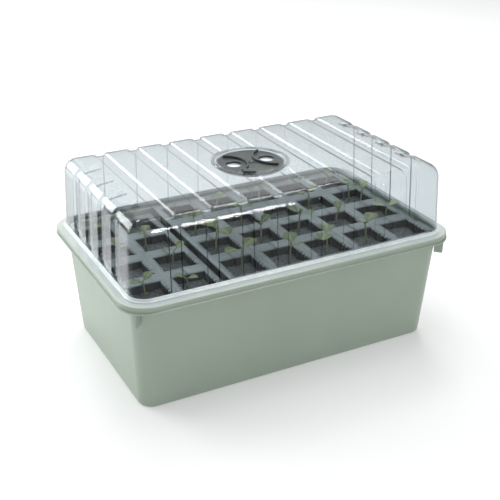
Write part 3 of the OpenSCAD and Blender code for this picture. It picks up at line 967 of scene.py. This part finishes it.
# %% [markdown]
# A cell book is two thin sheets that fold together along their foot. Each sheet holds
# half of four deep cells, so closing the book makes four whole cells with a seam down
# the middle, and opening it frees the plugs. One half cell is a U-shaped loft: out
# over the flange, down the ribbed wall and in across the bottom to the drain hole.
# The ribs guide the roots down, and their tops show as teeth along the flange.

# %% Book sizes
BOOK_W = (BOOK_BOX[4][1].x - BOOK_BOX[4][0].x) / MM
BOOK_H = (BOOK_BOX[4][1].z - BOOK_BOX[4][0].z) / MM
PITCH = CELL_PITCH / MM
CELL_L, CELL_W = BOOK_W - 7, PITCH - 15
CELL_R = 3.0
TAPER = 0.72                          # the share of its opening a cell keeps at its foot
TEETH, TOOTH = 6, 2.8                 # how many root guides, and how far each stands in
SEAM = 0.3                            # half the gap between a book's two sheets
DRAIN_R = 4
END_R = 10.5                          # rounded corners of the first and last book
FRONT_REACH = 4.6                     # how much further the front cells open towards the rim
FLANGE = 0.86                         # the share of a tile's side beside its straight edge
LIP = [(1.0, 2.2), (1.0, 0.4), (0.94, 0), (0.5, 0), (0.12, 0)]  # share of the way out, drop
DEPTHS = [0.5, 1.2, 4, 10, 30, 60, 90, 110, BOOK_H - 1.3]


def half_cell_outline(rib):
    """A half cell's opening, from the seam round to the seam, with each point's place
    on the edge of the cell's tile of flange."""
    hx, hy = CELL_L / 2, CELL_W / 2
    points = []
    for t in np.linspace(0, 1, 5)[:-1]:
        x = SEAM + (hx - CELL_R - SEAM) * t
        points.append(((x, -hy), (SEAM + (BOOK_W / 2 - SEAM) * t * 0.9, -PITCH / 2)))
    for i in range(5):
        a = math.radians(-90 + 22.5 * i)
        corner = (hx - CELL_R + CELL_R * math.cos(a), -hy + CELL_R + CELL_R * math.sin(a))
        tile = (BOOK_W / 2 * (0.9 + 0.1 * min(i, 2) / 2),
                -PITCH / 2 * (1 - (1 - FLANGE) * max(i - 2, 0) / 2))
        points.append((corner, tile))
    flat = hy - CELL_R
    for t in np.linspace(0, 1, TEETH * 6 + 1)[1:-1]:
        y = -flat + 2 * flat * t
        ridge = rib * min(1, 1.5 * abs(1 - 2 * ((t * TEETH) % 1)))
        points.append(((hx - ridge, y), (BOOK_W / 2, y * (PITCH / 2 * FLANGE) / flat)))
    mirrored = [((p[0], -p[1]), (q[0], -q[1])) for p, q in reversed(points[:9])]
    return points + mirrored


def open_wide(cell, y):
    """Stretches the front half of a front cell towards the rim."""
    return y * (1 + FRONT_REACH / (CELL_W / 2)) if cell == 0 and y < 0 else y


def middle_of(cell):
    """Where a cell lies along its book."""
    return (cell - 1.5) * PITCH


def half_book_sheet(side, corner_r):
    """One sheet of a book: four half cells with their flange and bottom."""
    parts = []
    for cell in range(CELLS):
        mid = middle_of(cell)
        rings = []
        for share, drop in LIP:
            ring = []
            for (x, y), (tx, ty) in half_cell_outline(TOOTH):
                y = open_wide(cell, y)
                shared = abs(ty) > PITCH / 2 - 0.01 and abs(mid + ty) < 2 * PITCH - 0.01
                ring.append((x + (tx - x) * share, mid + y + (ty - y) * share,
                             BOOK_H if shared else BOOK_H - drop))
            rings.append(ring)
        for depth in DEPTHS:
            scale = 1 - (1 - TAPER) * depth / BOOK_H
            rib = TOOTH * (1 - 0.55 * depth / BOOK_H)
            rings.append([
                (x * scale if x > SEAM else x, mid + open_wide(cell, y) * scale, BOOK_H - depth)
                for (x, y), _ in half_cell_outline(rib)])
        foot = rings[-1]
        for share in (0.06, 0.5, 1.0):
            ring = []
            for x, y, z in foot:
                a = math.atan2(y - mid, max(x - SEAM, 1e-6))
                drain = (SEAM + DRAIN_R * math.cos(a), mid + DRAIN_R * math.sin(a))
                ring.append((x + (drain[0] - x) * share, y + (drain[1] - y) * share, z - 0.15))
            rings.append(ring)
        parts.append(loft(rings, closed=False))
    verts, faces = join(parts)
    verts = [round_corner(side * x, y, z, corner_r) for x, y, z in verts]
    if side > 0:
        faces = [tuple(reversed(face)) for face in faces]
    return verts, faces


def round_corner(x, y, z, corner_r):
    """Pulls a point of an end book's flange inside the rounded corners of the tub. The
    sign of corner_r says which side they are on, and 0 means a book with none."""
    reach = abs(corner_r)
    cx, cy = BOOK_W / 2 - reach, CELLS * PITCH / 2 - reach
    dx, dy = abs(x) - cx, abs(y) - cy
    away = math.hypot(dx, dy)
    if x * corner_r > 0 and dx > 0 and dy > 0 and away > reach:
        dx, dy = dx * reach / away, dy * reach / away
        return (math.copysign(cx + dx, x), math.copysign(cy + dy, y), z)
    return (x, y, z)


# %% Books
def hinge_strip():
    """The web that joins the two sheets along the book's foot, between the drain holes."""
    half = 3.0
    length = 3 * PITCH / 2
    section = [(-half, 0.1), (half, 0.1), (half, 4.6),
               (half - 0.8, 5), (-half + 0.8, 5), (-half, 4.6)]
    rings = [[(x, y, z) for x, z in section] for y in (-length, length)]
    return loft(rings, cap_first=True, cap_last=True)


def book_place(low, high):
    """From a book's own millimetres to where it stands."""
    middle = Vector(((low.x + high.x) / 2, (low.y + high.y) / 2, low.z))
    return Matrix.Translation(middle) @ Matrix.Scale(MM, 4)


for i, (low, high) in BOOK_BOX.items():
    corner_r = {1: -END_R, 7: END_R}.get(i, 0)
    both_sheets = join([half_book_sheet(s, corner_r) for s in (-1, 1)])
    book_mesh = mesh_from(f"book_sheets_{i}", *both_sheets, merge=0.01)
    carry(book_mesh, "depth", [(BOOK_H - v.co.z) / BOOK_H for v in book_mesh.vertices])
    book_mesh.transform(book_place(low, high))
    sheets = object_of(f"book_sheets_{i}", book_mesh)
    wall = sheets.modifiers.new("wall", "SOLIDIFY")
    wall.thickness = 0.8 * MM
    wall.offset = -1
    keep(sheets, f"book_{i}_body", BOOK_PLASTIC, [f"book_{i}"], sharp=50)
    web_mesh = mesh_from(f"book_hinge_{i}", *hinge_strip(), recalc=True)
    web_mesh.transform(book_place(low, high))
    web = object_of(f"book_hinge_{i}", web_mesh)
    keep(web, f"book_{i}_body", BOOK_PLASTIC, [f"book_{i}"])
print("book sheets:", len(sheets.data.polygons), "faces each before their thickness")

# %% [markdown]
# Each cell holds a tapered plug of compost. Its top is a small landscape of noise, a
# little lower in the middle, where watering has settled it. Loose crumbs lie on top:
# Geometry Nodes scatter a coarse ball on random points of the top faces. Each is
# turned, sized and squashed at random from a fixed seed, so that no crumb is round.

# %% Compost plugs
COMPOST_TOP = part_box("compost_4")[1].z / MM - BOOK_BOX[4][0].z / MM
PLUG_COLS, PLUG_ROWS = 26, 22
PLUG_FIT = 1 - 0.28 * 9 / BOOK_H      # the cell's taper, 9 mm down
PLUG_GAP = 0.25


def plug(seed, cell):
    """One plug: a bumpy top and tapering sides down to the bottom of the cell."""
    mid = middle_of(cell)
    hx, hy = CELL_L / 2 * PLUG_FIT - PLUG_GAP, CELL_W / 2 * PLUG_FIT - PLUG_GAP
    verts = []
    for r in range(PLUG_ROWS + 1):
        for c in range(PLUG_COLS + 1):
            u, v = 2 * c / PLUG_COLS - 1, 2 * r / PLUG_ROWS - 1
            square = Vector((u * math.sqrt(1 - v * v / 14), v * math.sqrt(1 - u * u / 14)))
            x, y = square.x * hx, open_wide(cell, square.y * hy)
            lump = noise.fractal(Vector((x / 5, y / 5, seed * 7.3)), 0.9, 2.1, 4)
            clod = noise.noise(Vector((x / 1.6, y / 1.6, seed * 3.1 + 50)))
            dish = -1.2 * (1 - max(abs(u), abs(v)) ** 2)
            verts.append((x, mid + y, COMPOST_TOP + 0.9 * lump + 0.5 * clod + dish))
    faces = grid_faces(PLUG_COLS, PLUG_ROWS)
    previous = edge = grid_edge(PLUG_COLS, PLUG_ROWS)
    for share, z in ((0.995, COMPOST_TOP - 3), (0.86, COMPOST_TOP / 2), (0.735, 1.6)):
        ring = []
        for index in edge:
            x, y, _ = verts[index]
            ring.append(len(verts))
            verts.append((x * share, mid + (y - mid) * share, z))
        for k in range(len(edge)):
            m = (k + 1) % len(edge)
            faces.append((previous[m], previous[k], ring[k], ring[m]))
        previous = ring
    faces.append(tuple(reversed(previous)))
    return verts, faces


# %% Crumbs
crumbs = Tree("compost_crumbs")
crumbs.value("Density", "Float", 110000.0)
crumbs.value("Smallest", "Float", 0.25 * MM)
crumbs.value("Largest", "Float", 1.15 * MM)
crumbs.value("Seed", "Int", 1)
crumbs.start()
facing = crumbs.node("GeometryNodeInputNormal")
facing_up = crumbs.node("ShaderNodeSeparateXYZ", None, {0: facing.outputs[0]})
is_top = crumbs.node("FunctionNodeCompare", {"data_type": "FLOAT", "operation": "GREATER_THAN"}, {
    0: facing_up.outputs[2], 1: 0.35})
scatter = crumbs.node("GeometryNodeDistributePointsOnFaces", None, {
    "Mesh": crumbs.inside.outputs["Geometry"], "Selection": is_top.outputs[0],
    "Density": crumbs.given("Density"), "Seed": crumbs.given("Seed")})
ball = crumbs.node("GeometryNodeMeshIcoSphere", None, {"Radius": 1.0, "Subdivisions": 1})
turn_any = crumbs.node("FunctionNodeRandomValue", {"data_type": "FLOAT_VECTOR"}, {
    "Max": (6.283, 6.283, 6.283), "Seed": crumbs.given("Seed")})   # a full turn each way
size_any = crumbs.node("FunctionNodeRandomValue", {"data_type": "FLOAT"}, {
    2: crumbs.given("Smallest"), 3: crumbs.given("Largest"), "Seed": crumbs.given("Seed")})
squash_any = crumbs.node("FunctionNodeRandomValue", {"data_type": "FLOAT_VECTOR"}, {
    "Min": (0.5, 0.6, 0.4), "Max": (1.3, 1.0, 0.8), "Seed": crumbs.given("Seed")})
crumb_size = crumbs.node("ShaderNodeVectorMath", {"operation": "SCALE"}, {
    0: squash_any.outputs[0], "Scale": size_any.outputs[1]})
crumb_turn = crumbs.node("FunctionNodeEulerToRotation", None, {0: turn_any.outputs[0]})
crumb_at = crumbs.node("GeometryNodeInstanceOnPoints", None, {
    "Points": scatter.outputs[0], "Instance": ball.outputs[0],
    "Rotation": crumb_turn.outputs[0], "Scale": crumb_size.outputs[0]})
crumbs.finish(crumb_at.outputs[0], COMPOST)

for i, (low, high) in BOOK_BOX.items():
    plug_mesh = mesh_from(f"compost_plugs_{i}", *join([plug(4 * i + j, j) for j in range(CELLS)]))
    plug_mesh.transform(book_place(low, high))
    plugs = object_of(f"compost_plugs_{i}", plug_mesh)
    loose = crumbs.plain(f"compost_crumbs_{i}", plugs, {"Seed": 10 + i})
    keep(plugs, f"book_{i}_body", COMPOST, [f"compost_{i}"], sharp=70)
    keep(loose, f"book_{i}_body", COMPOST, [f"compost_{i}"], sharp=25)
print("crumbs in the last book:", len(loose.data.polygons) // 20)

# %% [markdown]
# A seedling is a thin stem and two seed leaves; some have a first pair of true leaves
# just opening between them. A leaf is a small grid: its outline gives the width along
# its length, its middle is folded slightly and its tip droops. Each seedling has its
# own numbers, because in life no two stand alike.

# %% Seedling table
# Book, row, place in the cell along X and Y, height, leaf length, direction, lift of
# the leaves in degrees, roundness of the leaves, and whether the leaves are pale.
SEEDLINGS = [
    (1, 1, -2, 8, 20, 12, 20, 28, 0.62, 0), (1, 3, 4, -6, 21, 13, 80, 25, 0.7, 0),
    (1, 4, -4, 2, 18, 10, 10, 20, 0.6, 0), (2, 1, -4, 9, 13, 10, 140, 20, 0.6, 0),
    (2, 2, 3, 12, 19, 12, 15, 35, 0.6, 0), (2, 3, -9, 8, 22, 12, 60, 25, 0.6, 0),
    (3, 1, 2, 4, 27, 19, 25, 22, 0.55, 0), (3, 2, -2, 5, 30, 17, 100, 14, 0.85, 0),
    (3, 3, -4, 4, 24, 12, 0, 30, 0.6, 0), (4, 1, 5, -3, 25, 15, 75, 30, 0.7, 0),
    (4, 2, 4, 8, 21, 13, 30, 42, 0.55, 0), (4, 3, 6, 8, 24, 12, 150, 20, 0.6, 0),
    (4, 4, -5, 0, 20, 11, 40, 25, 0.6, 0), (5, 1, 4, 3, 24, 17, 50, 12, 0.75, 0),
    (5, 2, 2, 8, 26, 14, 120, 28, 0.65, 0), (5, 4, 3, 4, 19, 11, 5, 25, 0.6, 0),
    (6, 1, 2, 1, 27, 16, 30, 30, 0.7, 0), (6, 2, 4, 12, 18, 12, 70, 35, 0.6, 0),
    (6, 3, -4, 10, 23, 12, 20, 25, 0.6, 0), (7, 2, 9, -8, 21, 13, 160, 25, 0.7, 1),
    (7, 3, 8, -9, 24, 12, 45, 30, 0.6, 1), (7, 3, 4, 12, 21, 11, 100, 25, 0.6, 0),
    (7, 4, 0, 6, 20, 11, 60, 25, 0.6, 0)]


# %% Seedling shapes
LEAF_SIZE = 1.35


def leaf_grid(length, width, rise, turned, base, droop):
    """A leaf blade with its stalk, as a closed thin solid. Returns vertices, faces and rib values."""
    cols, rows = 8, 14
    stalk = 0.22                      # the share of the length that is stalk
    points, ribs_out = [], []
    for r in range(rows + 1):
        t = r / rows
        if t < stalk:
            half = width * (0.06 + 0.05 * t / stalk)
        else:
            s = (t - stalk) / (1 - stalk)
            swell = math.sin(math.pi * min(s ** 0.85, 1)) ** 0.75
            half = width * (0.11 + 0.42 * swell) * (1 if s < 1 else 0.1)
        along = length * t
        lift = along * math.sin(rise) - droop * length * max(t - 0.35, 0) ** 2
        reach = along * math.cos(rise)
        for c in range(cols + 1):
            u = 2 * c / cols - 1
            cup = 0.16 * half * abs(u) ** 1.5
            points.append(Vector((reach, u * half, lift + cup)))
            ribs_out.append(max(0.0, 1 - abs(u) * 4) * (0.9 if t < 0.95 else 0.2))
    turn_z = Matrix.Rotation(turned, 4, "Z")
    grid = [base + turn_z @ p for p in points]
    count = len(grid)
    thick = 0.3
    verts = grid + [p - Vector((0, 0, thick)) for p in grid]
    faces = []
    side = cols + 1
    for r in range(rows):
        for c in range(cols):
            a = r * side + c
            faces.append((a, a + side, a + side + 1, a + 1))
            faces.append((count + a, count + a + 1, count + a + side + 1, count + a + side))
    edge = grid_edge(cols, rows)
    for k, a in enumerate(edge):
        b = edge[(k + 1) % len(edge)]
        faces.append((a, b, count + b, count + a))
    return verts, faces, ribs_out + ribs_out


def stem_tube(foot, top, bend, thick):
    """A tapering stem that leaves the compost upright and leans to its leaves."""
    rings, steps = [], 8
    middle = (foot + top) / 2 + bend
    for k in range(11):
        t = k / 10
        centre = (1 - t) ** 2 * foot + 2 * t * (1 - t) * middle + t ** 2 * top
        r = thick * (1.15 - 0.35 * t)
        rings.append([centre + Vector((r * math.cos(2 * math.pi * i / steps),
                                       r * math.sin(2 * math.pi * i / steps), 0)) for i in range(steps)])
    return loft(rings, cap_first=True, cap_last=True)


def seedling(number, row):
    book_n, cell, dx, dy, height, length, direction, rise, roundness, pale = row
    low = BOOK_BOX[book_n][0] / MM
    mid_x = (BOOK_BOX[book_n][0].x + BOOK_BOX[book_n][1].x) / 2 / MM
    sway = Vector((math.cos(number * 2.4), math.sin(number * 2.4), 0)) * 1.6
    foot = Vector((mid_x + dx, BOOK_MID_Y / MM + (cell - 2.5) * PITCH + dy,
                   low.z + COMPOST_TOP - 2.5))
    top = foot + Vector((0, 0, height - 1)) + sway
    parts = [stem_tube(foot, top, sway * -1.2, 1.0)]
    ribs_all = [[0.0] * len(parts[0][0])]
    angle = math.radians(direction)
    leaves = [(angle + 0.12 * math.sin(number), 1.0),
              (angle + math.pi - 0.2 * math.cos(number), 0.94)]
    if number % 3 == 0:
        leaves += [(angle + 1.5, 0.42), (angle - 1.6, 0.38)]
    for turned, scale in leaves:
        steeper = 25 if scale < 0.5 else 0
        tilt = math.radians(rise + steeper + 5 * math.sin(number * 1.7 + turned))
        base = top + Vector((0, 0, 0.1 if scale > 0.5 else 0.8))
        long = LEAF_SIZE * length * scale
        verts, faces, rib = leaf_grid(long, long * roundness, tilt, turned, base, 0.45)
        parts.append((verts, faces))
        ribs_all.append(rib)
    verts, faces = join(parts)
    mesh = mesh_from(f"seedling_{book_n}_{number}", verts, faces)
    carry(mesh, "rib", [value for part in ribs_all for value in part])
    mesh.materials.append(YOUNG_LEAF if pale else LEAF)
    mesh.materials.append(STEM)
    stem_faces = len(parts[0][1])
    mesh.polygons.foreach_set("material_index", [
        1 if k < stem_faces else 0 for k in range(len(mesh.polygons))])
    mesh.transform(Matrix.Scale(MM, 4))
    return keep(object_of(mesh.name, mesh), f"book_{book_n}_body", None,
                [f"seedlings_{book_n}"], sharp=60)


seedlings = [seedling(number, row) for number, row in enumerate(SEEDLINGS, 1)]
print("seedlings:", len(seedlings))

# %% [markdown]
# The studio is plain: a pale floor with a faint glow, an even white world, and soft
# lights above, to the left, behind and over the right edge. A tall strip in front is
# seen only in reflections, where it draws a thin line along the dome's shoulder. It
# leans a little to follow that line, so its axes are given rather than its aim.

# %% Floor and lights
floor_finish = Finish("floor")
floor_cloud = floor_finish.noise(3, detail=2)
FLOOR = floor_finish.done(floor_finish.plastic(
    Base_Color=floor_finish.blend(floor_cloud, (0.76, 0.76, 0.76, 1), (0.78, 0.78, 0.78, 1)),
    Roughness=0.8, Specular_IOR_Level=0.2,
    Emission_Color=(1, 1, 1, 1), Emission_Strength=0.22))
FLOOR_HALF = 12.0
FLOOR_Z = -0.2 * MM
floor_mesh = mesh_from("floor", [
    (sx * FLOOR_HALF, sy * FLOOR_HALF, FLOOR_Z)
    for sx, sy in [(-1, -1), (1, -1), (1, 1), (-1, 1)]], [(0, 1, 2, 3)])
floor_mesh.materials.append(FLOOR)
floor = object_of("floor", floor_mesh)

world = bpy.data.worlds.new("studio")
bpy.context.scene.world = world
world.use_nodes = True
backdrop = world.node_tree.nodes["Background"]
backdrop.inputs["Color"].default_value = (0.97, 0.99, 1.0, 1)
backdrop.inputs["Strength"].default_value = 0.5


def soft_light(name, place, aim, size, power, color=(1, 1, 1)):
    data = bpy.data.lights.new(name, "AREA")
    data.shape = "RECTANGLE"
    data.size, data.size_y = size
    data.energy = power
    data.color = color
    lamp = bpy.data.objects.new(name, data)
    bpy.context.scene.collection.objects.link(lamp)
    lamp.location = place
    lamp.rotation_euler = (Vector(aim) - Vector(place)).to_track_quat("-Z", "Y").to_euler()
    return lamp


soft_light("above", (-0.1, 0.3, 1.6), (0, 0, 0.1), (1.8, 1.4), 15)
soft_light("left", (-1.2, 1.4, 0.75), (0, 0, 0.12), (1.2, 0.9), 14, (0.94, 0.98, 1.0))
soft_light("behind", (1.05, 1.9, 1.0), (0, 0, 0.2), (2.4, 0.9), 3.2)
soft_light("behind_left", (-0.95, 1.9, 0.85), (0, 0, 0.2), (0.9, 0.7), 8)
soft_light("edge", (0.75, 0.9, 1.6), (0, 0, 0.2), (0.5, 0.5), 8)
soft_light("spark", (0.0, 1.75, 1.5), (0, 0, 0.2), (0.4, 0.3), 5)
strip = soft_light("strip", (0.64, -1.5, 1.1), (0.64, 0, 1.1), (0.44, 0.85), 110)
strip.rotation_euler = Matrix(((0.975, 0.22, 0), (0, 0, -1), (-0.22, 0.975, 0))).to_euler()
strip.visible_diffuse = False

bpy.context.scene.view_settings.view_transform = "Standard"
bpy.context.scene.cycles.transparent_max_bounces = 32
bpy.context.scene.cycles.max_bounces = 10
